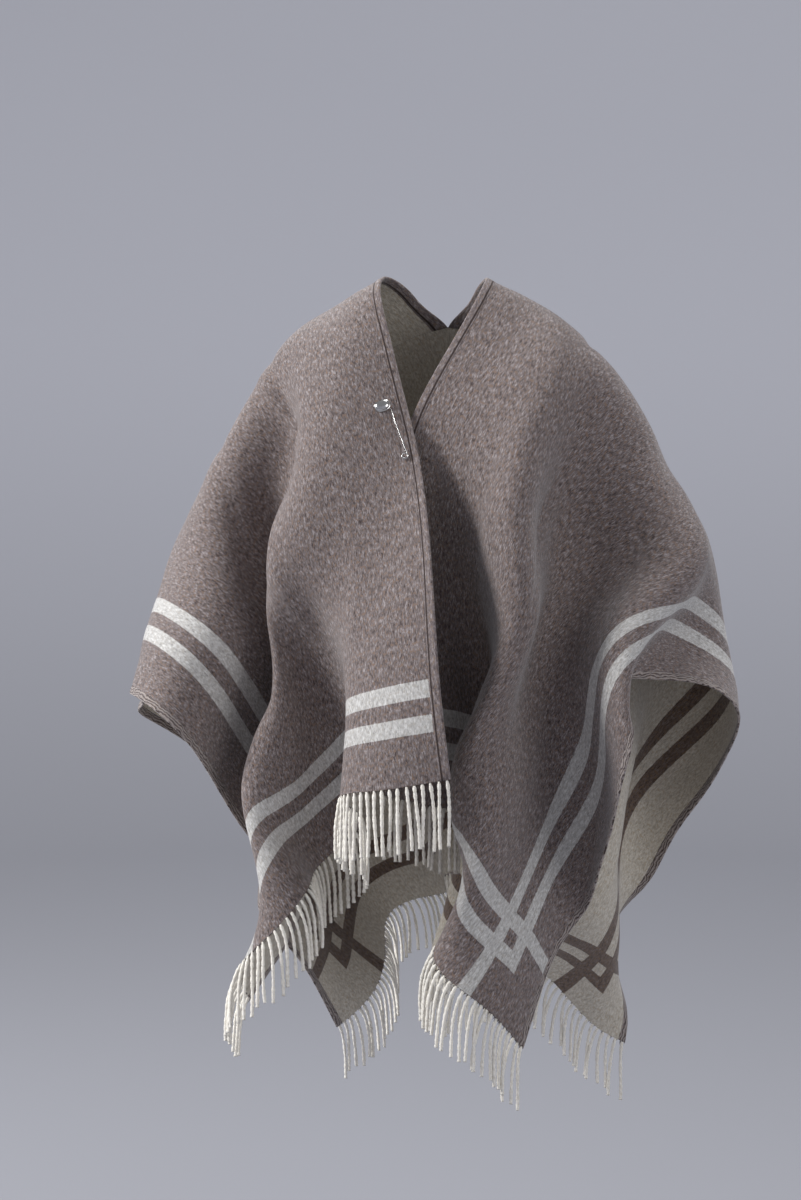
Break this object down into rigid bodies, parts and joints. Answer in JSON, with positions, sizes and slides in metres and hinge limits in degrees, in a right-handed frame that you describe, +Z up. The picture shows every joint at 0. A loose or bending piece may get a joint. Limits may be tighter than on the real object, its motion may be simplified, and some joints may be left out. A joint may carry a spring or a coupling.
{
  "type": "poncho",
  "caption": "Open-front wool poncho (ruana) in its worn form: a straight cloth slit to its middle, with banded borders, fringed hems and a kilt pin.",
  "frame": {"origin": "between the shoulders at the base of the neck, where the wearer holds the garment up", "axes": "+Z up, -Y the way the wearer faces, +X to the wearer's left"},
  "size_m": [0.9126, 0.713, 1.2434],
  "materials": {
    "taupe_wool": "brushed double-faced wool, taupe outside and pale inside, with pale bands",
    "taupe_edge": "matt wool, turned and rolled edges",
    "cream_wool": "matt twisted wool yarn",
    "bright_steel": "polished nickel-plated steel"
  },
  "bodies": {
    "root": {"back_panel": "taupe_wool", "front_right": "taupe_wool", "front_left": "taupe_wool", "turned_edge_right": "taupe_edge", "turned_edge_left": "taupe_edge", "selvedge_right": "taupe_edge", "selvedge_left": "taupe_edge", "fringe_front_right": "cream_wool", "fringe_front_left": "cream_wool", "fringe_back": "cream_wool", "pin_cap": "bright_steel", "pin_wire": "bright_steel"}
  },
  "joints": []
}
